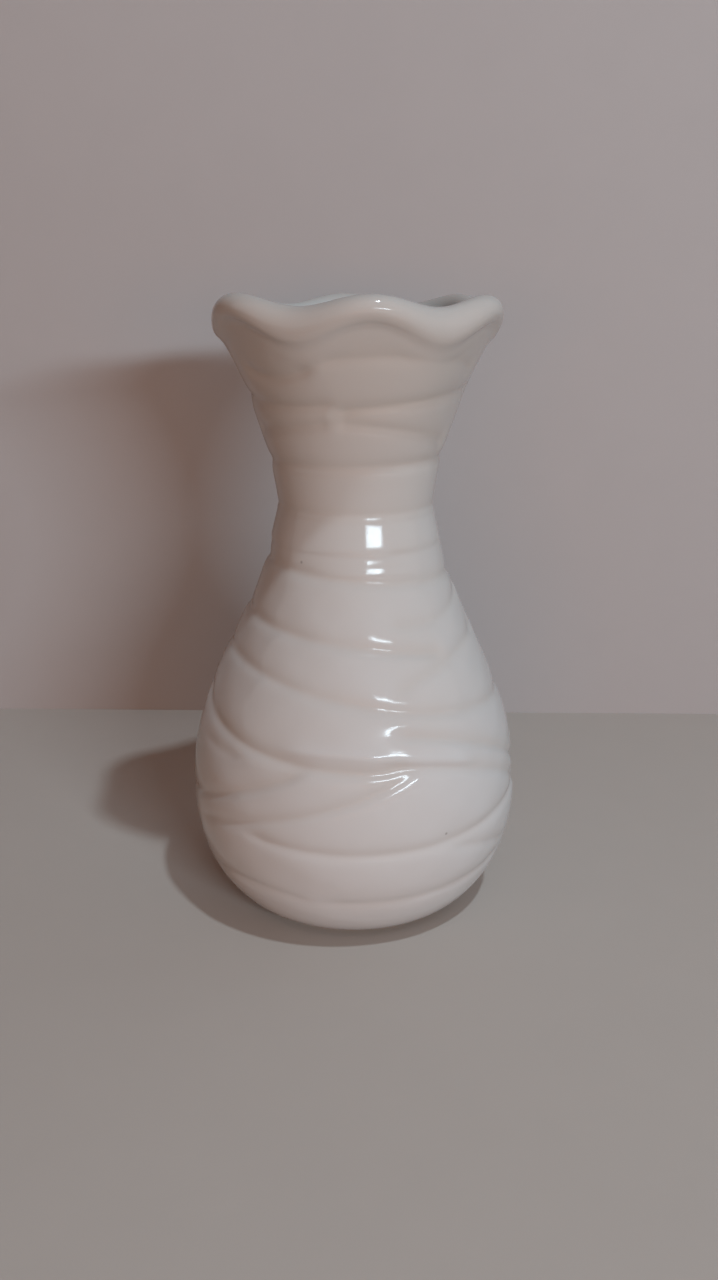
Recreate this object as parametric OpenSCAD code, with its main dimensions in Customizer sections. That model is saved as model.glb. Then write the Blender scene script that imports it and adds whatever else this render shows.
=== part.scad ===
// Ceramic bud vase: a slip-cast wall with overlapping wraps, a rolled lip of six lobes and a glaze.
// Millimetres, +Z up, origin at the middle of the foot's resting face, front towards -Y.
// Every angle is measured about Z from the front, positive towards +X.

/* [Body] */
// Height of the vase, up to the crests of the lip
height = 140; // [125:1:165]
// Widest diameter, at the belly
belly_d = 77; // [66:1:88]
// Height of the widest place
belly_z = 27; // [22:1:34]
// Narrowest diameter, at the neck
neck_d = 35.8; // [30:0.2:42]
// Height of the neck
neck_z = 97; // [90:1:104]

/* [Foot] */
// Outer diameter of the bare ring that the vase stands on
foot_d = 48; // [42:1:54]
// Width of that ring
foot_ring_w = 3.4; // [2.4:0.2:5]
// Depth of the recess inside the ring
recess_depth = 1.6; // [1.2:0.2:2.4]
// Height at which the outer glaze starts
glaze_line_z = 1.5; // [1:0.1:2.5]

/* [Wall] */
// Thickness of the cast wall
wall = 4; // [3:0.25:5]
// Thickness of the floor above the recess
floor_t = 4.6; // [3.6:0.2:6]
// Thickness of the glaze
glaze_t = 0.4; // [0.3:0.05:0.6]
// Height on the outside down to which the outer glaze reaches over the lip and inside
overlap_z = 118; // [114:1:122]

/* [Lip] */
// Number of lobes round the lip
lobes = 6; // [4:1:8]
// Turn of the first lobe from the front
lobe_turn = 6; // [0:1:30]
// Diameter across the lip, halfway between crests and valleys
lip_d = 62.8; // [56:0.4:68]
// How much further out a crest stands than that, and how much less a valley
lobe_out = 0.8; // [0:0.2:1.8]
// Height of the rolled lip at a crest
lip_h = 6; // [5.2:0.2:6.8]
// Thickness of the rolled lip
lip_t = 6.4; // [5.6:0.2:7.6]
// Drop of the top edge from crest to valley
top_wave = 2.4; // [0:0.1:3.2]
// Drop of the lower edge from crest to valley
under_wave = 4.8; // [2:0.2:6]
// How much lower the lip is at the back than at the front
lip_tilt = 0.5; // [0:0.1:1.2]
// How far the lip sits to the left of the body's axis
lip_shift = 0.3; // [0:0.1:0.8]
// How much less high the rolled lip is on its left than on its right
lip_thin = 0.8; // [0:0.1:1.2]

/* [Wraps] */
// Depth of the deepest fold between two wraps
fold_depth = 0.7; // [0.2:0.1:1]
// Half width of a fold
fold_w = 1.5; // [1.2:0.1:2.4]
// How much steeper a fold is on its lower side, where one wrap lies over the next
fold_lap = 0.35; // [0:0.05:0.6]
// How far the wraps of the belly lean down from the left side to the middle
belly_lean = 5.5; // [0:0.5:8]

/* [Hidden] */

belly_r = belly_d / 2;
neck_r = neck_d / 2;
foot_r = foot_d / 2;
recess_r = foot_r - foot_ring_w;
floor_z = recess_depth + floor_t;
wiped_gap = 0.5;        // bare clay between the base glaze and the recess wall
liner_step = 0.3;       // the liner starts this much inside the overlap of the outer glaze
tip = 0.05;             // step in height for slopes
$fn = 96;

// Grid of the modelled surface
columns = 36;
body_rows = 54;
lip_rows = 8;
overlap_rows = 2;
grid_settle = 1 / 6;    // share of the height, at each end, over which the grid stops leaning
roll_start = -70;       // angle round the lip's section where it leaves the wall
roll_end = 180;         // and where its inner side starts down

// Powers that shape the outline: the foot's round, the shoulder's fall and the funnel's flare
foot_round = 1.6;
shoulder_fall = 1.1;
flare_rise = 1.5;

// Folds that run right round: [height, lean, depth]. The lean is a share of belly_lean.
// Heights are for pattern_h and follow the vase's height.
pattern_h = 140;
RINGS = [
    [105.2, -0.1, 0.9], [95, 0, 0.65], [81.4, 0.3, 0.8], [57.5, 1, 0.8]
];
// Folds of one face: [start angle, end angle, start height, middle height, end height, depth]
FOLDS = [
    // under the lip
    [-22, 78, 126.3, 127.5, 123.8, 0.7], [-70, -14, 126, 123, 126.8, 1],
    [-98, -6, 119.2, 117.1, 118.2, 1.1], [-17, 94, 116.4, 118.6, 120.2, 1.2],
    [-84, -8, 111.4, 112.6, 114.6, 0.9], [-17, 74, 114.6, 112.6, 108.6, 1],
    // shoulder
    [18, 84, 87, 87.9, 87.5, 0.4], [-98, 50, 72, 69.7, 65.3, 0.9],
    [2, 96, 73.3, 72.6, 78, 0.6], [12, 90, 58.6, 64.5, 67.2, 0.7],
    // belly
    [-94, 22, 53, 46, 44, 0.9], [6, 96, 45.4, 40, 24.6, 0.9],
    [-72, -38, 44.2, 43.3, 43.8, 0.4], [10, 98, 51.4, 45, 28.6, 1],
    [-88, -12, 26.4, 33.8, 45.2, 0.9], [-70, 26, 24, 33, 44.6, 0.8],
    // above the foot
    [-42, 98, 27.7, 26.4, 33, 0.9], [30, 76, 25.6, 21.6, 16.4, 0.5],
    [-16, 70, 12.8, 13.6, 15.6, 0.6], [-70, -10, 10.4, 14, 12.2, 0.5]
];
fold_fade = 12;         // angle over which a fold runs out at each end
relief_from = 6;        // height where the wraps start above the foot
relief_fade = 5;        // height over which they come in, and run out below the lip
lean_middle = 0.36;     // share of the vase's height where the wraps lean most
lean_reach = 0.18;      // and how far above and below that they lean, as a share too

// The topmost wrap of the shoulder is pressed to a cone
band_r = neck_r + 0.45; // its radius halfway up
band_z = neck_z - 6.4;  // and the height of that place
band_reach = 3.6;       // how far above and below that it reaches
band_slope = 0.245;     // how much it narrows per millimetre of height

// ---- Outline ----

// 1 at a crest of the lip, -1 at a valley
function lobe(a) = cos(lobes * (a - lobe_turn));
function lip_level(a) = height - lip_tilt * (1 - cos(a)) / 2;
function lip_top(a) = lip_level(a) - top_wave * (1 - lobe(a)) / 2;
function lip_under(a) =
    lip_level(a) - lip_h + lip_thin * (1 - sin(a)) / 2 - under_wave * (1 - lobe(a)) / 2;
function lip_mid(a) = (lip_top(a) + lip_under(a)) / 2;
function lip_half(a) = (lip_top(a) - lip_under(a)) / 2;
function lip_r(a) = lip_d / 2 + lobe_out * lobe(a) - lip_shift * sin(a);

// Point of the rolled lip's section, an ellipse, at the angle roll round it
function lip_point(a, roll) =
    [lip_r(a) - lip_t / 2 * (1 - cos(roll)), lip_mid(a) + lip_half(a) * sin(roll)];
function lip_normal(a, roll) = unit([lip_half(a) * cos(roll), lip_t / 2 * sin(roll)]);

// Radius of the glazed outside at height z: a rounded foot, a falling shoulder and a flare
// that meets the rolled lip where its section starts
function outer_r(z, a) =
    z < belly_z
        ? foot_r + (belly_r - foot_r) * pow(1 - pow(1 - z / belly_z, 2), 1 / foot_round)
    : z < neck_z
        ? neck_r + (belly_r - neck_r)
            * (1 + cos(180 * pow((z - belly_z) / (neck_z - belly_z), shoulder_fall))) / 2
    : neck_r + (lip_point(a, roll_start)[0] - neck_r)
        * pow((z - neck_z) / (lip_point(a, roll_start)[1] - neck_z), flare_rise);

function outer_normal(z, a) = unit([2 * tip, outer_r(z - tip, a) - outer_r(z + tip, a)]);
function unit(v) = v / norm(v);
function mix(from, to, share) = from + (to - from) * share;
function ease(share) = let (s = min(1, max(0, share))) s * s * (3 - 2 * s);

// A plain section, between crest and valley, for all that is turned
mid_a = lobe_turn + 90 / lobes;

// Point of the cast wall's inside that faces the outside's point at height z
function inner_point(z, depth) =
    [outer_r(z, mid_a) - depth * outer_normal(z, mid_a)[0],
     max(floor_z + depth - wall, z - depth * outer_normal(z, mid_a)[1])];
overlap_end = inner_point(overlap_z, wall);

// ---- Wraps ----

// The back repeats the front mirrored, so each fold meets itself at the sides
function face_angle(a) = asin(sin(a));
// Section of a fold, u half widths up from its middle: a soft groove, steeper below
function groove(u) = (1 + fold_lap * u) / (1 + u * u);
function lean(z) = belly_lean * exp(-pow((z / height - lean_middle) / lean_reach, 2));

function ring_relief(z, a) =
    [for (f = RINGS)
        -f[2] * groove((z - f[0] * height / pattern_h + f[1] * belly_lean * sin(a)) / fold_w)];

// A fold's height follows a parabola through its start, middle and end
function fold_z(f, s) =
    (f[2] + s * (4 * f[3] - 3 * f[2] - f[4] + s * (2 * f[2] - 4 * f[3] + 2 * f[4])))
        * height / pattern_h;
function fold_run(f, b) =
    ease((b - f[0]) / fold_fade) * ease((f[1] - b) / fold_fade);
function fold_relief(z, a) = let (b = face_angle(a))
    [for (f = FOLDS) if (b > f[0] && b < f[1])
        -f[5] * fold_run(f, b)
            * groove((z - fold_z(f, (b - f[0]) / (f[1] - f[0]))) / fold_w)];

function total(list) = [for (v = list) 1] * list;
// Depth of the wraps' relief at height z, none at the foot and under the lip
function relief(z, a) = fold_depth
    * ease((z - relief_from) / relief_fade)
    * ease((lip_point(a, roll_start)[1] - z) / relief_fade)
    * total(concat(ring_relief(z, a), fold_relief(z, a)));

// ---- Grid of the outside, from the glaze line up, over the lip and down inside ----

// The cone of the shoulder's topmost wrap, laid over a point of the body
function pressed(p, depth) =
    [mix(p[0], band_r - band_slope * (p[1] - band_z) - depth,
         exp(-pow((p[1] - band_z) / band_reach, 8))), p[1]];

// A point sunk below the glazed surface by depth, as [radius, height]
function body_point(a, share, depth) =
    let (top = lip_point(a, roll_start)[1],
         level = mix(glaze_line_z, top, share),
         z = level - lean(level) * sin(a) * ease(min(share, 1 - share) / grid_settle))
    pressed([outer_r(z, a), z] + (relief(z, a) - depth) * outer_normal(z, a), depth);
function crease_point(a, depth) =
    lip_point(a, roll_start) - depth * unit(
        outer_normal(lip_point(a, roll_start)[1] - tip, a) + lip_normal(a, roll_start));
function roll_point(a, roll, depth) = lip_point(a, roll) - depth * lip_normal(a, roll);
function overlap_point(a, share, depth) =
    let (top = roll_point(a, roll_end, depth), end = inner_point(overlap_z, wall - depth))
    [mix(top[0], end[0], share), mix(top[1], overlap_end[1], share)];

function section(a, depth) = concat(
    [for (i = [0:body_rows - 1]) body_point(a, i / body_rows, depth)],
    [crease_point(a, depth)],
    [for (i = [1:lip_rows]) roll_point(a, mix(roll_start, roll_end, i / lip_rows), depth)],
    [for (i = [1:overlap_rows]) overlap_point(a, i / overlap_rows, depth)]
);
rows = body_rows + lip_rows + overlap_rows + 1;

// All points, column by column
function at(a, p) = [p[0] * sin(a), -p[0] * cos(a), p[1]];
function column_angle(j) = 360 * j / columns;

// Triangles between neighbouring columns of count points each, from row first to row last.
// A surface that is listed backwards is split along its other diagonal, so that the glaze's
// underside and the clay below it share every triangle.
function skin(count, first, last, backwards = false) =
    [for (j = [0:columns - 1], i = [first:last])
        let (k = (j + 1) % columns, n = (i + 1) % count,
             p = j * count + i, q = k * count + i, r = k * count + n, s = j * count + n)
        each backwards ? [[p, s, q], [s, r, q]] : [[p, r, q], [p, s, r]]];

// ---- Sub-parts ----

module clay_body() {
    count = rows + 1;
    points = [for (j = [0:columns - 1])
        let (a = column_angle(j))
        each [for (p = concat([[foot_r, 0]], section(a, glaze_t))) at(a, p)]];
    under = [for (j = [0:columns - 1]) j * count];
    seat = [for (j = [columns - 1:-1:0]) j * count + count - 1];
    color([0.86, 0.82, 0.75]) difference() {
        polyhedron(points, concat(skin(count, 0, count - 2), [under], [seat]));
        cavity(wall, 1);
        translate([0, 0, -1]) cylinder(r = recess_r, h = recess_depth + 1);
    }
}

// The turned hollow, inset from the outside by depth and drawn up past its top by rise
module cavity(depth, rise) {
    inset = liner_step + depth - wall;
    rotate_extrude() polygon(hollow_outline(depth, inset, rise));
}

function hollow_outline(depth, inset, rise) = concat(
    [[0, floor_z + depth - wall]],
    hollow_side(depth),
    [[overlap_end[0] - inset, overlap_end[1]],
     [overlap_end[0] - inset, overlap_end[1] + rise],
     [0, overlap_end[1] + rise]]
);

// Its points stand closer together low down, where it turns out of the flat floor
hollow_steps = 26;
hollow_spread = 1.5;
function hollow_side(depth) =
    [for (i = [1:hollow_steps - 1])
        inner_point(overlap_z * pow(i / hollow_steps, hollow_spread), depth)];

module outer_glaze() {
    count = 2 * rows;
    points = [for (j = [0:columns - 1])
        let (a = column_angle(j), inside = section(a, glaze_t))
        each [for (p = concat(section(a, 0), [for (i = [rows - 1:-1:0]) inside[i]])) at(a, p)]];
    color([0.93, 0.91, 0.87])
        polyhedron(points, concat(skin(count, 0, rows - 1), skin(count, rows, count - 1, true)));
}

module inner_glaze() {
    color([0.93, 0.91, 0.87]) difference() {
        cavity(wall, 0);
        cavity(wall + glaze_t, 1);
    }
}

module base_glaze() {
    color([0.93, 0.91, 0.87])
        translate([0, 0, recess_depth - glaze_t])
            cylinder(r = recess_r - wiped_gap, h = glaze_t);
}

clay_body();
outer_glaze();
inner_glaze();
base_glaze();
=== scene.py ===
import bmesh
import bpy
import numpy as np
from mathutils import Matrix, Vector


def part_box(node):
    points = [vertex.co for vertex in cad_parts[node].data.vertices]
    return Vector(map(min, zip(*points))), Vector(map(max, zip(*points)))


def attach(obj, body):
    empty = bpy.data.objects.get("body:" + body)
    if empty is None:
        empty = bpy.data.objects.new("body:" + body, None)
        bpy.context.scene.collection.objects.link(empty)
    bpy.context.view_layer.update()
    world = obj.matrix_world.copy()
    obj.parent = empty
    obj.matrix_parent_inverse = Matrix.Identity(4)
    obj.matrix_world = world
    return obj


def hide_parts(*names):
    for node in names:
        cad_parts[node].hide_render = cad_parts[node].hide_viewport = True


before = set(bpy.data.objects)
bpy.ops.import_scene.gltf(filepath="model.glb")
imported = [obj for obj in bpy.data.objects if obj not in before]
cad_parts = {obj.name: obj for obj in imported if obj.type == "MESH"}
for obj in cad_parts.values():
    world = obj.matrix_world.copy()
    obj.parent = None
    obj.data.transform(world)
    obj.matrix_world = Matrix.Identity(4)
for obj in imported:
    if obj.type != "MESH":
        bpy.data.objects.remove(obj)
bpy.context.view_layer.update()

MM = 0.001

# ---- Sizes of the vase ----

WALL, GLAZE = 4.0, 0.4
HEIGHT = round(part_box("clay_body")[1][2] / MM + GLAZE)     # the clay's top and the coat on it
BELLY_R, BELLY_Z = 38.5, 27.0
NECK_R, NECK_Z = 17.9, 97.0
FOOT_R, FOOT_RING_W = 24.0, 3.4
RECESS_R, RECESS_DEPTH = FOOT_R - FOOT_RING_W, 1.6
FOOT_EDGE = 0.5             # rounding of the foot ring's edges
FLOOR_Z = 6.2               # floor of the hollow
# Where the outer coat starts above the foot, and where it ends inside
GLAZE_LINE_Z, OVERLAP_Z = 1.5, 118.0
LINER_FADE = 10.0           # height below that end over which the liner thins out
# Bare clay left round the base's coat, and that coat's share of the full thickness in its middle
WIPED_GAP, BASE_THIN = 0.5, 0.75

# The lip: how many lobes and where one stands, outer radius and how far a crest stands out, height
# at a crest and thickness, and how much lower its top and its lower edge are in a valley
LOBES, LOBE_TURN = 6, np.radians(6)
LIP_R, LOBE_OUT, LIP_H, LIP_T = 31.4, 0.8, 6.0, 6.4
TOP_WAVE, UNDER_WAVE = 2.4, 4.8
# How much lower it is at the back, how far to the left, and how much thinner at the left
LIP_TILT, LIP_SHIFT, LIP_THIN = 0.5, 0.3, 0.8
# Where its rolled section starts on the funnel and where it ends inside, as angles round the section
ROLL_START, ROLL_END = np.radians(-70), np.radians(180)

# Powers that shape the outline above the foot, down the shoulder and up the funnel
FOOT_ROUND, SHOULDER_FALL, FLARE_RISE = 1.6, 1.1, 1.5
# Places of the shoulder that are pressed to a cone, one right round and one at the front: radius
# and height of the middle, reach in height, slope, and the middle and reach in degrees round the vase
PRESSED = [(18.35, 90.6, 3.6, 0.245, 0, 999), (19.77, 83.5, 1.1, 0.268, 12, 26)]

# Blending of the crease under the lip: rows each way under a crest, rows in a valley, times
CREASE_SHORT, CREASE_LONG, CREASE_PASSES = 1.5, 3.0, 6

# ---- Colours, light and camera ----

# The glaze at the foot and at the lip, and the colour it turns in clouds and, as painted shade, in the
# folds
IVORY_LOW, IVORY_HIGH = (0.55, 0.575, 0.6, 1), (0.432, 0.423, 0.412, 1)
IVORY_CLOUD_AND_FOLD_SHADE = (0.415, 0.375, 0.335, 1)
# How far a fold's painted shade and a cloud turn it into that colour
FOLD_SHADE, CLOUDING = 0.25, 0.3
SPECK_COLOUR = (0.10, 0.075, 0.06, 1)
# Specks: cells per metre, radius as a share of a cell, share of the cells that hold one, and how much
# of the radius its edge fades over on each side
SPECK_CELLS, SPECK_R, SPECK_SHARE, SPECK_SOFT = 70.0, 0.022, 0.12, 0.3
# Two pinpoints of iron on the front, one low on the belly and one on the shoulder, in millimetres
PINPOINTS = [(20.2, -32.3, 28.7), (-11.5, -15.8, 84.7)]
PINPOINT_R, PINPOINT_DARK, PINPOINT_SOFT = 0.3, 0.45, 0.4
CLAY_PALE, CLAY_DARK, CLAY_WORN = (0.60, 0.54, 0.46, 1), (0.45, 0.39, 0.31, 1), (0.28, 0.25, 0.21, 1)
# The stain over which clay turns worn, and how far at most
WORN_STAIN, WORN_MOST = (0.5, 0.75), 0.5
GLAZE_ROUGHNESS, CLAY_ROUGHNESS, STAGE_ROUGHNESS = (0.07, 0.13), (0.75, 0.95), 0.75
NOISE_MIDDLE = (0.3, 0.7)   # where most values of a noise lie
# Noise: cycles per metre, detail, roughness
CLOUDS, ORANGE_PEEL = (38.0, 3.0, 0.6), (420.0, 1.5, 0.4)
CLAY_GRIT, CLAY_STAIN, MOTTLE = (1500.0, 4.0, 0.7), (90.0, 3.0, 0.6), (60.0, 4.0, 0.6)
# Bumps: height in metres, strength
PEEL_BUMP, GRIT_BUMP = (0.00004, 0.6), (0.0002, 0.5)

FLOOR_COLOUR = (0.47, 0.42, 0.385, 1)
BACKDROP_COLOUR = (0.4, 0.383, 0.387, 1)
MOTTLE_SHADE = 0.96
STAGE_REACH, BACKDROP_Y, BACKDROP_TOP = 2, 0.11, 1.5
ROOM_COLOUR, ROOM_LIGHT = (1.0, 0.33, 0.05, 1), 0.12
PALE_COLOUR = (0.42, 0.39, 0.38, 1)
STAGE_FADE = (0.3, 0.6)     # distance from the vase over which the stage turns into that colour
LAMP_COLOUR = (0.73, 0.90, 1.0)
# Lamps: name, degrees round and up, distance, width and height in metres, power in watts, colour, and
# whether the glaze mirrors it. The window is two lamps in one place, so that its glint has its own power.
LAMPS = [
    ("window", 26, 15, 1.0, 0.36, 0.05, 2.8, LAMP_COLOUR, False),
    ("window_glint", 26, 15, 1.0, 0.36, 0.05, 2.95, LAMP_COLOUR, True),
    ("overhead", 38, 66, 1.2, 0.05, 0.05, 5.0, LAMP_COLOUR, True),
    ("front", 2, 4, 0.9, 0.80, 0.14, 2.0, ROOM_COLOUR, False),
]
# Camera: sensor and lens in millimetres, degrees down and of roll, and its place in metres
CAMERA_SENSOR, CAMERA_LENS, CAMERA_DOWN, CAMERA_ROLL = 36.0, 30.94, 18.12, 0.43
CAMERA_SIDE, CAMERA_BACK, CAMERA_UP = 0.001, 0.2455, 0.1424

# ---- The wraps ----

# A fold's depth, half width and lap, and how far the belly's folds lean from the front to a side
FOLD_DEPTH, FOLD_W, FOLD_LAP, BELLY_LEAN = 0.75, 1.4, 0.35, 5.5
FOLD_FADE = np.radians(12)
RELIEF_FROM, RELIEF_FADE = 6.0, 5.0     # height where the relief starts, and how soon it is full
# Folds right round: height, lean as a share of the belly's, depth
RINGS = [(105.2, -0.1, 0.9), (95, 0, 0.65), (81.4, 0.3, 0.8), (57.5, 1, 0.8)]
# Folds of one face: start and end angle in degrees, height at start, middle and end, depth. A depth
# below nought is a ridge.
FOLDS = [
    # under the lip
    (-22, 78, 126.3, 127.5, 123.8, 0.7), (-70, -14, 126, 123, 126.8, 1),
    (-98, -6, 119.2, 117.1, 118.2, 1.1), (-17, 94, 116.4, 118.6, 120.2, 1.2),
    (-84, -8, 111.4, 112.6, 114.6, 0.9), (-17, 74, 114.6, 112.6, 108.6, 1),
    # shoulder
    (18, 84, 87, 87.9, 87.5, 0.4), (-98, 50, 72, 69.7, 65.3, 0.9),
    (14, 96, 72.6, 72.8, 78, 0.6), (12, 90, 58.6, 64.5, 67.2, 0.7),
    # belly
    (-94, 22, 53, 46, 44, 0.9), (6, 96, 45.4, 40, 24.6, 0.9),
    (-72, -38, 44.2, 43.3, 43.8, 0.4), (10, 98, 51.4, 45, 28.6, 1),
    (-88, -12, 26.4, 33.8, 45.2, 0.9), (-70, 26, 24, 33, 44.6, 0.8),
    (-30, 50, 47.5, 47, 42.2, -0.6),
    # above the foot
    (-42, 98, 27.7, 26.4, 33, 0.75), (30, 76, 25.6, 21.6, 16.4, 0.5),
    (-16, 70, 12.8, 13.6, 15.6, 0.6), (-70, -10, 10.4, 14, 12.2, 0.5),
]

# Waves of the hand-finished outside: amount, turns round the vase, height per radian, start
SLOW_WAVES = [(0.07, 3, 9, 0), (0.05, 5, -6, 1), (0.04, 2, 4, 2)]
QUICK_WAVES = [(0.02, 14, 1.9, 0), (0.02, 19, -1.4, 1), (0.03, 9, 2.4, 0)]
QUICK_FADE = 30             # height below the neck over which the quick ones come in

# ---- Grids ----

COLUMNS = 200
FINE = (300, 40, 14)        # rows of the body, the lip and the overlap on the glazed side
COARSE = (80, 14, 4)        # the same where glaze and clay meet
LINER_ROWS, HOLLOW_ROWS, BASE_ROWS = 110, 60, 24
ANGLES = 2 * np.pi * np.arange(COLUMNS)[:, None] / COLUMNS
SHARP_ANGLE = np.radians(60)
POLE_REACH, POLE_MERGE = 1e-7, 1e-6     # metres from the axis, and between points that become one


def ease(share):
    """Smooth step: 3 s^2 - 2 s^3 of the share s, held between 0 and 1."""
    s = np.clip(share, 0, 1)
    return s * s * (3 - 2 * s)


def unit(r, z):
    """The direction (r, z) at length 1."""
    length = np.hypot(r, z)
    return r / length, z / length


def lobe(a):
    """cos(lobes (a - turn)): 1 at a crest of the lip and -1 at a valley."""
    return np.cos(LOBES * (a - LOBE_TURN))


def lip_ellipse(a):
    """Middle radius and height, half width and half height of the rolled lip's section at a.

    The whole lip is a little lower at the back, and it sits a little to the left and is thinner there.
    """
    dip = (1 - lobe(a)) / 2
    level = HEIGHT - LIP_TILT * (1 - np.cos(a)) / 2
    top = level - TOP_WAVE * dip
    under = level - LIP_H + LIP_THIN * (1 - np.sin(a)) / 2 - UNDER_WAVE * dip
    middle = LIP_R - LIP_T / 2 + LOBE_OUT * lobe(a) - LIP_SHIFT * np.sin(a)
    return middle, (top + under) / 2, LIP_T / 2, (top - under) / 2


def lip_point(a, roll):
    """Ellipse: middle + (half width cos roll, half height sin roll)."""
    r, z, w, h = lip_ellipse(a)
    return r + w * np.cos(roll), z + h * np.sin(roll)


def lip_normal(a, roll):
    """Outward direction of that ellipse: (half height cos roll, half width sin roll)."""
    _, _, w, h = lip_ellipse(a)
    return unit(h * np.cos(roll), w * np.sin(roll))


def outer_radius(z, a):
    """Radius of the glazed outside at height z.

    Foot: foot + (belly - foot) (1 - (1 - s)^2)^(1 / foot round), s from foot to belly. Shoulder: a
    half cosine from belly to neck over s^fall. Funnel: neck + (lip start - neck) s^rise.
    """
    start_r, start_z = lip_point(a, ROLL_START)
    low = 1 - (1 - np.clip(z / BELLY_Z, 0, 1)) ** 2
    foot = FOOT_R + (BELLY_R - FOOT_R) * low ** (1 / FOOT_ROUND)
    fall = np.clip((z - BELLY_Z) / (NECK_Z - BELLY_Z), 0, 1) ** SHOULDER_FALL
    shoulder = NECK_R + (BELLY_R - NECK_R) * (1 + np.cos(np.pi * fall)) / 2
    rise = np.clip((z - NECK_Z) / (start_z - NECK_Z), 0, None) ** FLARE_RISE
    funnel = NECK_R + (start_r - NECK_R) * rise
    return np.where(z < BELLY_Z, foot, np.where(z < NECK_Z, shoulder, funnel))


def outer_normal(z, a, step=0.05):
    """Outward direction of the outline, from its slope over a small step up and down."""
    return unit(2 * step, outer_radius(z - step, a) - outer_radius(z + step, a))


def groove(u):
    """Section of a fold: (1 + lap u) / (1 + u^2), u half widths up from its middle.

    The lap makes its lower side the steeper one, where the wrap below lies over the one above.
    """
    return (1 + FOLD_LAP * u) / (1 + u * u)


def relief(z, a):
    """Relief of the wraps, below nought in a fold: the sum of their grooves.

    A ring's groove follows a sine of the angle, and a fold's a parabola through its three heights.
    """
    total = np.zeros(np.broadcast(z, a).shape)
    for height, lean, depth in RINGS:
        total -= depth * groove((z - height + lean * BELLY_LEAN * np.sin(a)) / FOLD_W)
    face = np.arcsin(np.sin(a))
    for start, end, low, middle, high, depth in FOLDS:
        start, end = np.radians(start), np.radians(end)
        s = (face - start) / (end - start)
        at = low + s * (4 * middle - 3 * low - high + s * (2 * low - 4 * middle + 2 * high))
        run = ease((face - start) / FOLD_FADE) * ease((end - face) / FOLD_FADE)
        total -= depth * run * groove((z - at) / FOLD_W)
    _, lip_z = lip_point(a, ROLL_START)
    return FOLD_DEPTH * total * ease((z - RELIEF_FROM) / RELIEF_FADE) * ease((lip_z - z) / RELIEF_FADE)


def inner_point(z, depth):
    """Point of the inside: depth inwards from the outline halfway between crest and valley.

    No point is below the floor, or below the coat that lies on it.
    """
    plain = LOBE_TURN + np.pi / 2 / LOBES
    n_r, n_z = outer_normal(z, plain)
    return outer_radius(z, plain) - depth * n_r, np.maximum(FLOOR_Z + depth - WALL, z - depth * n_z)


def waves(z, a, rows):
    """Sum of amount sin(turns a + z / rise + start) over the rows of a table."""
    return sum(amount * np.sin(turns * a + z / rise + start) for amount, turns, rise, start in rows)


def wobble(z, a):
    """Unevenness of a hand-finished cast: crossing waves, each under a tenth of a millimetre."""
    return waves(z, a, SLOW_WAVES) + waves(z, a, QUICK_WAVES) * ease((NECK_Z - z) / QUICK_FADE)


def press(r, z, depth, a):
    """Presses the shoulder to its cones, sunk by depth.

    The radius goes over to the cone by the share exp(-(height off / reach)^8 - (angle off / reach)^4).
    """
    for flat_r, flat_z, reach, slope, turn, spread in PRESSED:
        off = (np.degrees(a) - turn + 180) % 360 - 180
        share = np.exp(-((z - flat_z) / reach) ** 8 - (off / spread) ** 4)
        r += share * (flat_r - slope * (z - flat_z) - depth - r)


def soften_crease(r, z, first_lip_row, a):
    """Blends the wall into the lip: neighbours are averaged near their meeting row.

    The blend is short under a crest, where the lip hangs over a tight crease, and long in a valley.
    Its share is exp(-(rows off / reach)^2).
    """
    row = np.arange(r.shape[1])[None, :]
    reach = CREASE_SHORT + (CREASE_LONG - CREASE_SHORT) * (1 - lobe(a)) / 2
    share = np.exp(-((row - first_lip_row) / reach) ** 2)[:, 1:-1]
    for _ in range(CREASE_PASSES):
        r[:, 1:-1] += share * ((r[:, :-2] + r[:, 2:]) / 2 - r[:, 1:-1])
        z[:, 1:-1] += share * ((z[:, :-2] + z[:, 2:]) / 2 - z[:, 1:-1])


def run_in(r, z, depth, count):
    """The way down inside, from the lip's last point to where the dipped coat ends.

    A cubic leaves the lip upright and ends along the inner wall: with s from 0 to 1, height is
    start + fall s, and radius is start + (end - start) (3 s^2 - 2 s^3) + slope fall (s^3 - s^2).
    """
    s = np.arange(1, count + 1)[None, :] / count
    end_r, _ = inner_point(OVERLAP_Z, WALL - depth)
    (below_r, wall_r), (below_z, end_z) = inner_point(np.array([OVERLAP_Z - 1, OVERLAP_Z]), WALL)
    slope, fall = (wall_r - below_r) / (end_z - below_z), end_z - z
    return r + (end_r - r) * ease(s) + slope * fall * (s ** 3 - s ** 2), z + fall * s


def outside(rows, depth):
    """Section of the outside at each angle, sunk by depth along its own outward direction.

    It runs from the glaze line up the outline with its relief and its pressed cones, round the lip's
    ellipse and down inside. Returns radius, height and relief, columns by rows.
    """
    a = ANGLES
    body_rows, lip_rows, overlap_rows = rows
    _, lip_z = lip_point(a, ROLL_START)
    z = GLAZE_LINE_Z + (lip_z - GLAZE_LINE_Z) * np.arange(body_rows)[None, :] / body_rows
    n_r, n_z = outer_normal(z, a)
    fold = relief(z, a)
    out = fold + wobble(z, a) * ease((z - RELIEF_FROM) / RELIEF_FADE) - depth
    r_body, z_body = outer_radius(z, a) + out * n_r, z + out * n_z
    press(r_body, z_body, depth, a)

    roll = np.linspace(ROLL_START, ROLL_END, lip_rows + 1)[None, :]
    n_r, n_z = lip_normal(a, roll)
    r_lip, z_lip = lip_point(a, roll)
    r_lip, z_lip = r_lip - depth * n_r, z_lip - depth * n_z

    r_in, z_in = run_in(r_lip[:, -1:], z_lip[:, -1:], depth, overlap_rows)

    r = np.concatenate([r_body, r_lip, r_in], axis=1)
    z = np.concatenate([z_body, z_lip, z_in], axis=1)
    soften_crease(r, z, body_rows, a)
    fold = np.concatenate([fold, np.zeros_like(r_lip), np.zeros_like(r_in)], axis=1)
    return r, z, fold


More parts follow.
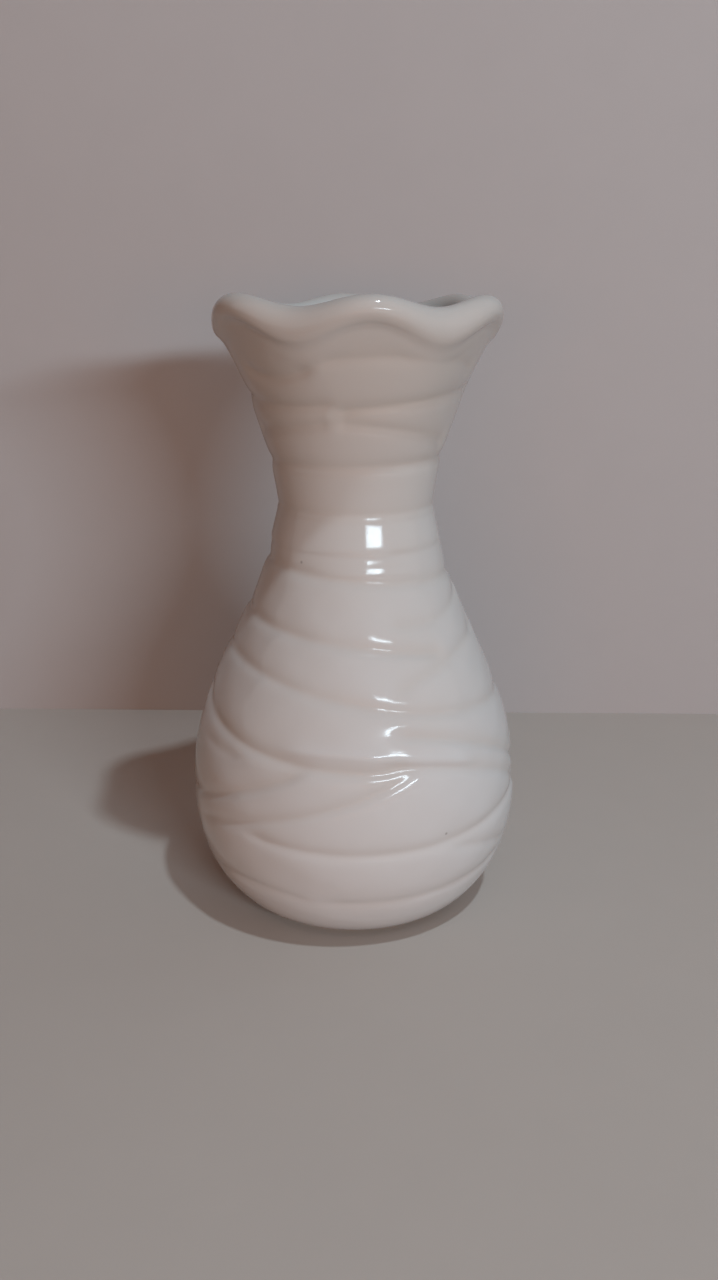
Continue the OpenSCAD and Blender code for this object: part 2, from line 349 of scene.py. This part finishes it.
def glaze_edge(r, z, count=6):
    """Rounded lower edge of the coat: a quarter circle of the glaze's thickness below its first row."""
    turn = np.linspace(0, np.pi / 2, count, endpoint=False)[None, :]
    n_r, n_z = outer_normal(GLAZE_LINE_Z, 0.0)
    r_mid, z_mid = r[:, :1] - GLAZE * n_r, z[:, :1] - GLAZE * n_z
    along_r, along_z = n_z, -n_r
    return (r_mid + GLAZE * (np.sin(turn) * n_r + np.cos(turn) * along_r),
            z_mid + GLAZE * (np.sin(turn) * n_z + np.cos(turn) * along_z))


# ---- Meshes ----

def sweep(name, r, z, poles=False, values=None):
    """Closed surface from sections (columns by rows): x = r sin a, y = -r cos a.

    Sections are closed loops, or, with poles, they start and end on the axis in one shared point.
    Faces join column j and row i to the next ones, k and n. Values are kept on the points as "fold".
    """
    columns, rows = r.shape
    points = np.stack([r * np.sin(ANGLES), -r * np.cos(ANGLES), z], axis=2).reshape(-1, 3) * MM
    j = np.arange(columns)[:, None]
    i = np.arange(rows - 1 if poles else rows)[None, :]
    k, n = (j + 1) % columns, (i + 1) % rows
    quads = np.stack([j * rows + i, k * rows + i, k * rows + n, j * rows + n], axis=2).reshape(-1, 4)
    mesh = bpy.data.meshes.new(name)
    mesh.from_pydata(points, [], quads)
    if values is not None:
        layer = mesh.attributes.new("fold", "FLOAT", "POINT")
        layer.data.foreach_set("value", np.ascontiguousarray(values, dtype=np.float32).ravel())
    mesh.polygons.foreach_set("use_smooth", np.ones(len(mesh.polygons), dtype=bool))
    mesh.set_sharp_from_angle(angle=SHARP_ANGLE)
    piece = bpy.data.objects.new(name, mesh)
    bpy.context.scene.collection.objects.link(piece)
    if poles:
        close_poles(mesh)
    return piece


def close_poles(mesh):
    """Merges the points that lie on the axis, so that each pole is one point with a fan of faces."""
    work = bmesh.new()
    work.from_mesh(mesh)
    on_axis = [v for v in work.verts if v.co.xy.length < POLE_REACH]
    bmesh.ops.remove_doubles(work, verts=on_axis, dist=POLE_MERGE)
    work.to_mesh(mesh)
    work.free()


def arc(middle, radius, start, end, count=8):
    """Points of a circle from angle start to end, in degrees: middle + radius (cos, sin)."""
    turn = np.radians(np.linspace(start, end, count))
    return np.stack([middle[0] + radius * np.cos(turn), middle[1] + radius * np.sin(turn)], axis=1)


def turned(points):
    """A list of (radius, height) points as sections, the same at every angle."""
    r, z = np.asarray(points, dtype=float).T
    return np.repeat(r[None, :], COLUMNS, axis=0), np.repeat(z[None, :], COLUMNS, axis=0)


def hollow_side(count, coat=0.0):
    """The inside from its floor up to the end of the dipped coat, under a coat that thins out there.

    Heights go as the 1.5th power of the row, so that the rows gather where the floor curves up.
    """
    z = OVERLAP_Z * (np.arange(1, count + 1) / count) ** 1.5
    r, z = inner_point(z, WALL + coat * ease((OVERLAP_Z - z) / LINER_FADE))
    return np.stack([r, z], axis=1)


def make_outer_coat():
    """The coat from the glaze line, over the lip and down inside, closed along the clay."""
    r, z, fold = outside(FINE, 0.0)
    edge_r, edge_z = glaze_edge(r, z)
    r_in, z_in, fold_in = outside(COARSE, GLAZE)
    r = np.concatenate([edge_r, r, r_in[:, ::-1]], axis=1)
    z = np.concatenate([edge_z, z, z_in[:, ::-1]], axis=1)
    fold = np.concatenate([np.zeros_like(edge_r), fold, fold_in[:, ::-1]], axis=1)
    return sweep("outer_glaze_coat", r, z, values=-fold / FOLD_DEPTH)


def make_liner():
    """The liner: clay side up from the floor's middle, glazed side back down to it."""
    back = hollow_side(HOLLOW_ROWS)
    face = hollow_side(LINER_ROWS, GLAZE)[:-1]
    points = np.concatenate([[[0, back[0, 1]]], back, face[::-1], [[0, face[0, 1]]]])
    return sweep("inner_glaze_liner", *turned(points), poles=True)


def make_cast_body():
    """The clay: recess, rounded foot ring, outside under the coat, inside behind the liner."""
    edge = FOOT_EDGE
    r, z, _ = outside(COARSE, GLAZE)
    foot = np.concatenate([
        [[0, RECESS_DEPTH], [RECESS_R - edge, RECESS_DEPTH]],
        arc((RECESS_R - edge, RECESS_DEPTH - edge), edge, 90, 0),
        arc((RECESS_R + edge, edge), edge, 180, 270),
        arc((FOOT_R - edge, edge), edge, 270, 330),
    ])
    foot_r, foot_z = turned(foot)
    side = hollow_side(HOLLOW_ROWS)
    side_r, side_z = turned(np.concatenate([side[:-1][::-1], [[0, side[0, 1]]]]))
    return sweep("cast_body", np.concatenate([foot_r, r, side_r], axis=1),
                 np.concatenate([foot_z, z, side_z], axis=1), poles=True)


def make_base_coat():
    """The pool of glaze in the recess: a disc, glaze (thin + (1 - thin) (r / rim)^6) thick."""
    rim = RECESS_R - WIPED_GAP - GLAZE
    r = np.linspace(0, rim, BASE_ROWS)
    face = np.stack([r, RECESS_DEPTH - GLAZE * (BASE_THIN + (1 - BASE_THIN) * (r / rim) ** 6)], axis=1)
    edge = arc((rim, RECESS_DEPTH), GLAZE, -90, 0)[1:]
    points = np.concatenate([face, edge, [[0, RECESS_DEPTH]]])
    return sweep("base_glaze_coat", *turned(points), poles=True)


# ---- Finishes ----

def add(tree, kind, x, y, **values):
    """A node of the given kind, with its named inputs set."""
    node = tree.nodes.new(kind)
    node.location = (x, y)
    for name, value in values.items():
        node.inputs[name].default_value = value
    return node


def socket(group, name, kind, way, value=None):
    """A named input or output on a node group."""
    made = group.interface.new_socket(name=name, in_out=way, socket_type="NodeSocket" + kind)
    if value is not None:
        made.default_value = value


def calculate(tree, kind, x, y, first, second, clamp=False):
    """A math node of two values, each a socket or a number. Returns its output."""
    node = tree.nodes.new("ShaderNodeMath")
    node.operation, node.use_clamp, node.location = kind, clamp, (x, y)
    for given, into in zip((first, second), node.inputs):
        if isinstance(given, (int, float)):
            into.default_value = given
        else:
            tree.links.new(given, into)
    return node.outputs[0]


def blend_colours(tree, x, y, factor, first, second):
    """A mix of two colours, each a socket or four numbers. Returns its output."""
    node = tree.nodes.new("ShaderNodeMix")
    node.data_type, node.location = "RGBA", (x, y)
    inputs = [i for i in node.inputs if i.enabled]
    for given, into in zip((factor, first, second), inputs):
        if isinstance(given, (tuple, float)):
            into.default_value = given
        else:
            tree.links.new(given, into)
    return next(o for o in node.outputs if o.enabled)


def ramp(tree, x, y, value, low, high, to_low=0.0, to_high=1.0):
    """A value's range from low to high carried to another range, held at its ends."""
    node = add(tree, "ShaderNodeMapRange", x, y)
    for name, number in (("From Min", low), ("From Max", high), ("To Min", to_low), ("To Max", to_high)):
        node.inputs[name].default_value = number
    tree.links.new(value, node.inputs["Value"])
    return node.outputs["Result"]


def noise(tree, x, y, place, scale, detail, roughness):
    """Noise on object coordinates. Scale is in cycles per metre. Returns its value."""
    node = add(tree, "ShaderNodeTexNoise", x, y, Scale=scale, Detail=detail, Roughness=roughness)
    tree.links.new(place, node.inputs["Vector"])
    return node.outputs["Fac"]


def glaze_group():
    """Glaze over relief: its colour deepens in slow clouds and, as painted shade, in the folds, with rare
    iron specks.

    Its colour runs from the low colour at the foot to the high colour at the lip: paler and bluer at the
    foot, darker and warmer at the lip.
    The group puts out the colour, the height of a faint orange peel, and the roughness.
    """
    group = bpy.data.node_groups.new("glaze_with_fold_shade", "ShaderNodeTree")
    socket(group, "Low Colour", "Color", "INPUT")
    socket(group, "High Colour", "Color", "INPUT")
    socket(group, "Cloud And Fold Shade Colour", "Color", "INPUT")
    socket(group, "Fold", "Float", "INPUT")
    socket(group, "Fold Shade", "Float", "INPUT", FOLD_SHADE)
    socket(group, "Cloud", "Float", "INPUT", CLOUDING)
    socket(group, "Specks", "Float", "INPUT", 1.0)
    socket(group, "Colour", "Color", "OUTPUT")
    socket(group, "Height", "Float", "OUTPUT")
    socket(group, "Roughness", "Float", "OUTPUT")
    given = group.nodes.new("NodeGroupInput").outputs
    put = group.nodes.new("NodeGroupOutput").inputs
    place = group.nodes.new("ShaderNodeTexCoord").outputs["Object"]

    height = add(group, "ShaderNodeSeparateXYZ", -600, 500)
    group.links.new(place, height.inputs["Vector"])
    risen = ramp(group, -400, 500, height.outputs["Z"], 0.0, HEIGHT * MM)
    run = blend_colours(group, -200, 500, risen, given["Low Colour"], given["High Colour"])

    clouds = noise(group, -600, 200, place, *CLOUDS)
    cloud = calculate(group, "MULTIPLY", -400, 200, clouds, given["Cloud"])
    # painted shade: the colour darkens in the folds, by their depth
    fold_shade = calculate(group, "MULTIPLY", -400, 0, given["Fold"], given["Fold Shade"])
    cloud_and_fold_shade = calculate(group, "ADD", -200, 200, cloud, fold_shade, clamp=True)
    body = blend_colours(group, 0, 200, cloud_and_fold_shade, run, given["Cloud And Fold Shade Colour"])

    cells = add(group, "ShaderNodeTexVoronoi", -600, -100, Scale=SPECK_CELLS)
    group.links.new(place, cells.inputs["Vector"])
    dot = ramp(group, -400, -100, cells.outputs["Distance"],
               SPECK_R * (1 + SPECK_SOFT), SPECK_R * (1 - SPECK_SOFT))
    rare = calculate(group, "GREATER_THAN", -400, -300, cells.outputs["Color"], 1 - SPECK_SHARE)
    speck = calculate(group, "MULTIPLY", -200, -100, dot, rare)
    shown = calculate(group, "MULTIPLY", 0, -100, speck, given["Specks"])
    for row, point in enumerate(PINPOINTS):
        gap = add(group, "ShaderNodeVectorMath", -400, -700 - 200 * row)
        gap.operation = "DISTANCE"
        gap.inputs[1].default_value = [value * MM for value in point]
        group.links.new(place, gap.inputs[0])
        inner, outer = PINPOINT_R * MM * (1 - PINPOINT_SOFT), PINPOINT_R * MM * (1 + PINPOINT_SOFT)
        pinpoint = ramp(group, -200, -700 - 200 * row, gap.outputs["Value"],
                        inner, outer, PINPOINT_DARK, 0.0)
        shown = calculate(group, "MAXIMUM", 0, -700 - 200 * row, shown, pinpoint)
    group.links.new(blend_colours(group, 200, 200, shown, body, SPECK_COLOUR), put["Colour"])

    group.links.new(noise(group, -600, -500, place, *ORANGE_PEEL), put["Height"])
    group.links.new(ramp(group, 0, -500, clouds, *NOISE_MIDDLE, *GLAZE_ROUGHNESS), put["Roughness"])
    return group


def shader(name, roughness):
    """A new material with its Principled shader. Returns the material, its tree and the shader."""
    material = bpy.data.materials.new(name)
    material.use_nodes = True
    tree = material.node_tree
    principled = tree.nodes["Principled BSDF"]
    principled.inputs["Roughness"].default_value = roughness
    return material, tree, principled


def bump(tree, height, distance, strength, principled):
    """Height in metres put on the shader's normal."""
    node = add(tree, "ShaderNodeBump", -200, -300, Strength=strength, Distance=distance)
    tree.links.new(height, node.inputs["Height"])
    tree.links.new(node.outputs["Normal"], principled.inputs["Normal"])


def glaze(name, group, cloud=CLOUDING, specks=1.0):
    """Glossy glaze: the group's colour and roughness, and its orange peel as a slight bump."""
    material, tree, principled = shader(name, np.mean(GLAZE_ROUGHNESS))
    node = tree.nodes.new("ShaderNodeGroup")
    node.node_tree, node.location = group, (-400, 0)
    for socket_name, value in (("Low Colour", IVORY_LOW), ("High Colour", IVORY_HIGH),
                               ("Cloud And Fold Shade Colour", IVORY_CLOUD_AND_FOLD_SHADE), ("Cloud", cloud), ("Specks", specks)):
        node.inputs[socket_name].default_value = value
    fold = add(tree, "ShaderNodeAttribute", -600, 0)
    fold.attribute_name = "fold"
    tree.links.new(fold.outputs["Fac"], node.inputs["Fold"])
    tree.links.new(node.outputs["Colour"], principled.inputs["Base Color"])
    tree.links.new(node.outputs["Roughness"], principled.inputs["Roughness"])
    bump(tree, node.outputs["Height"], *PEEL_BUMP, principled)
    return material


def bare_clay():
    """Fired clay without glaze: matte, sandy, a little darker where it has rubbed on tables."""
    material, tree, principled = shader("bare_fired_clay", np.mean(CLAY_ROUGHNESS))
    place = tree.nodes.new("ShaderNodeTexCoord").outputs["Object"]
    grit = noise(tree, -600, 200, place, *CLAY_GRIT)
    stain = noise(tree, -600, 0, place, *CLAY_STAIN)
    sand = blend_colours(tree, -400, 200, grit, CLAY_PALE, CLAY_DARK)
    worn = ramp(tree, -400, 0, stain, *WORN_STAIN, 0.0, WORN_MOST)
    colour = blend_colours(tree, -200, 200, worn, sand, CLAY_WORN)
    tree.links.new(colour, principled.inputs["Base Color"])
    rough = ramp(tree, -200, 0, grit, *NOISE_MIDDLE, *CLAY_ROUGHNESS)
    tree.links.new(rough, principled.inputs["Roughness"])
    bump(tree, grit, *GRIT_BUMP, principled)
    return material


def either_shader(tree, share, first, second):
    """A mix of two shaders. Returns its output."""
    node = tree.nodes.new("ShaderNodeMixShader")
    for given, into in zip((share, first, second), node.inputs):
        tree.links.new(given, into)
    return node.outputs[0]


def plain_surface(name, colour, see_through_back=False):
    """A plain matte stage surface with a faint mottle, which runs out into the pale background.

    A backdrop can be clear from behind.
    """
    material, tree, principled = shader(name, STAGE_ROUGHNESS)
    place = tree.nodes.new("ShaderNodeTexCoord").outputs["Object"]
    mottle = noise(tree, -600, 0, place, *MOTTLE)
    darker = tuple(MOTTLE_SHADE * c for c in colour[:3]) + (1.0,)
    tree.links.new(blend_colours(tree, -300, 0, mottle, colour, darker), principled.inputs["Base Color"])
    away = add(tree, "ShaderNodeVectorMath", -600, -300)
    away.operation = "LENGTH"
    tree.links.new(place, away.inputs[0])
    far = ramp(tree, -400, -300, away.outputs["Value"], *STAGE_FADE)
    seen = tree.nodes.new("ShaderNodeLightPath").outputs["Is Camera Ray"]
    pale = add(tree, "ShaderNodeEmission", 0, -300, Color=PALE_COLOUR)
    faded = calculate(tree, "MULTIPLY", -200, -300, far, seen)
    surface = either_shader(tree, faded, principled.outputs[0], pale.outputs[0])
    if see_through_back:
        side = tree.nodes.new("ShaderNodeNewGeometry").outputs["Backfacing"]
        clear = tree.nodes.new("ShaderNodeBsdfTransparent")
        surface = either_shader(tree, side, surface, clear.outputs[0])
    tree.links.new(surface, tree.nodes["Material Output"].inputs["Surface"])
    return material


# ---- Stage, light and camera ----

def plane(name, corners, material):
    """A flat stage surface through four corners, in metres."""
    mesh = bpy.data.meshes.new(name)
    mesh.from_pydata(corners, [], [(0, 1, 2, 3)])
    mesh.materials.append(material)
    made = bpy.data.objects.new(name, mesh)
    bpy.context.scene.collection.objects.link(made)


def softbox(name, azimuth, elevation, distance, width, height, power, colour, mirrored):
    """A rectangular area light that faces the vase's middle, hidden from the camera.

    Azimuth and elevation are in degrees. A lamp that isn't mirrored is hidden from the glaze too.
    """
    light = bpy.data.lights.new(name, "AREA")
    light.shape, light.size, light.size_y = "RECTANGLE", width, height
    light.energy, light.color = power, colour[:3]
    made = bpy.data.objects.new(name, light)
    a, e = np.radians(azimuth), np.radians(elevation)
    aim = Vector((0, 0, HEIGHT * MM / 2))
    away = Vector((np.sin(a) * np.cos(e), -np.cos(a) * np.cos(e), np.sin(e)))
    made.location = aim + away * distance
    made.rotation_euler = away.to_track_quat("Z", "Y").to_euler()
    made.visible_camera, made.visible_glossy = False, mirrored
    bpy.context.scene.collection.objects.link(made)


def make_world():
    """Even room light, with a pale background where the camera or a reflection looks past the stage."""
    world = bpy.data.worlds.new("room")
    bpy.context.scene.world = world
    world.use_nodes = True
    tree = world.node_tree
    room = tree.nodes["Background"]
    room.inputs["Color"].default_value = ROOM_COLOUR
    room.inputs["Strength"].default_value = ROOM_LIGHT
    pale = add(tree, "ShaderNodeBackground", 0, -200, Color=PALE_COLOUR, Strength=1.0)
    path = tree.nodes.new("ShaderNodeLightPath").outputs
    seen = calculate(tree, "MAXIMUM", 0, 200, path["Is Camera Ray"], path["Is Transmission Ray"])
    seen = calculate(tree, "MAXIMUM", 200, 200, seen, path["Is Glossy Ray"])
    surface = either_shader(tree, seen, room.outputs[0], pale.outputs[0])
    tree.links.new(surface, tree.nodes["World Output"].inputs["Surface"])


def make_camera():
    """The camera in front, a little above the lip, looking down onto the vase."""
    data = bpy.data.cameras.new("camera")
    data.sensor_width, data.lens = CAMERA_SENSOR, CAMERA_LENS
    data.clip_start = 0.01
    made = bpy.data.objects.new("camera", data)
    made.matrix_world = (Matrix.Translation((CAMERA_SIDE, -CAMERA_BACK, CAMERA_UP))
                         @ Matrix.Rotation(np.radians(90 - CAMERA_DOWN), 4, "X")
                         @ Matrix.Rotation(np.radians(CAMERA_ROLL), 4, "Z"))
    bpy.context.scene.collection.objects.link(made)
    bpy.context.scene.camera = made


# ---- Making ----

make_camera()
fold_shaded_glaze = glaze_group()
outer_finish = glaze("ivory_glaze_outer", fold_shaded_glaze)
liner_finish = glaze("ivory_glaze_liner", fold_shaded_glaze, cloud=0.5, specks=0.5)
base_finish = glaze("ivory_glaze_base", fold_shaded_glaze, cloud=0.6, specks=1.0)
clay_finish = bare_clay()

PIECES = [
    (make_outer_coat, "outer_glaze", "ivory_glaze", outer_finish),
    (make_liner, "inner_glaze", "liner_glaze", liner_finish),
    (make_cast_body, "clay_body", "fired_clay", clay_finish),
    (make_base_coat, "base_glaze", "ivory_glaze", base_finish),
]
for make, node, slot, finish in PIECES:
    piece = make()
    piece.data.materials.append(finish)
    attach(piece, "root")
    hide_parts(node)

reach = STAGE_REACH
plane("floor", [(-reach, -reach, 0), (reach, -reach, 0), (reach, reach, 0), (-reach, reach, 0)],
      plain_surface("pale_floor", FLOOR_COLOUR))
plane("backdrop", [(-reach, BACKDROP_Y, 0), (reach, BACKDROP_Y, 0),
                   (reach, BACKDROP_Y, BACKDROP_TOP), (-reach, BACKDROP_Y, BACKDROP_TOP)],
      plain_surface("pale_backdrop", BACKDROP_COLOUR, see_through_back=True))
make_world()
for lamp in LAMPS:
    softbox(*lamp)

view_settings = bpy.context.scene.view_settings
view_settings.view_transform = "Standard"
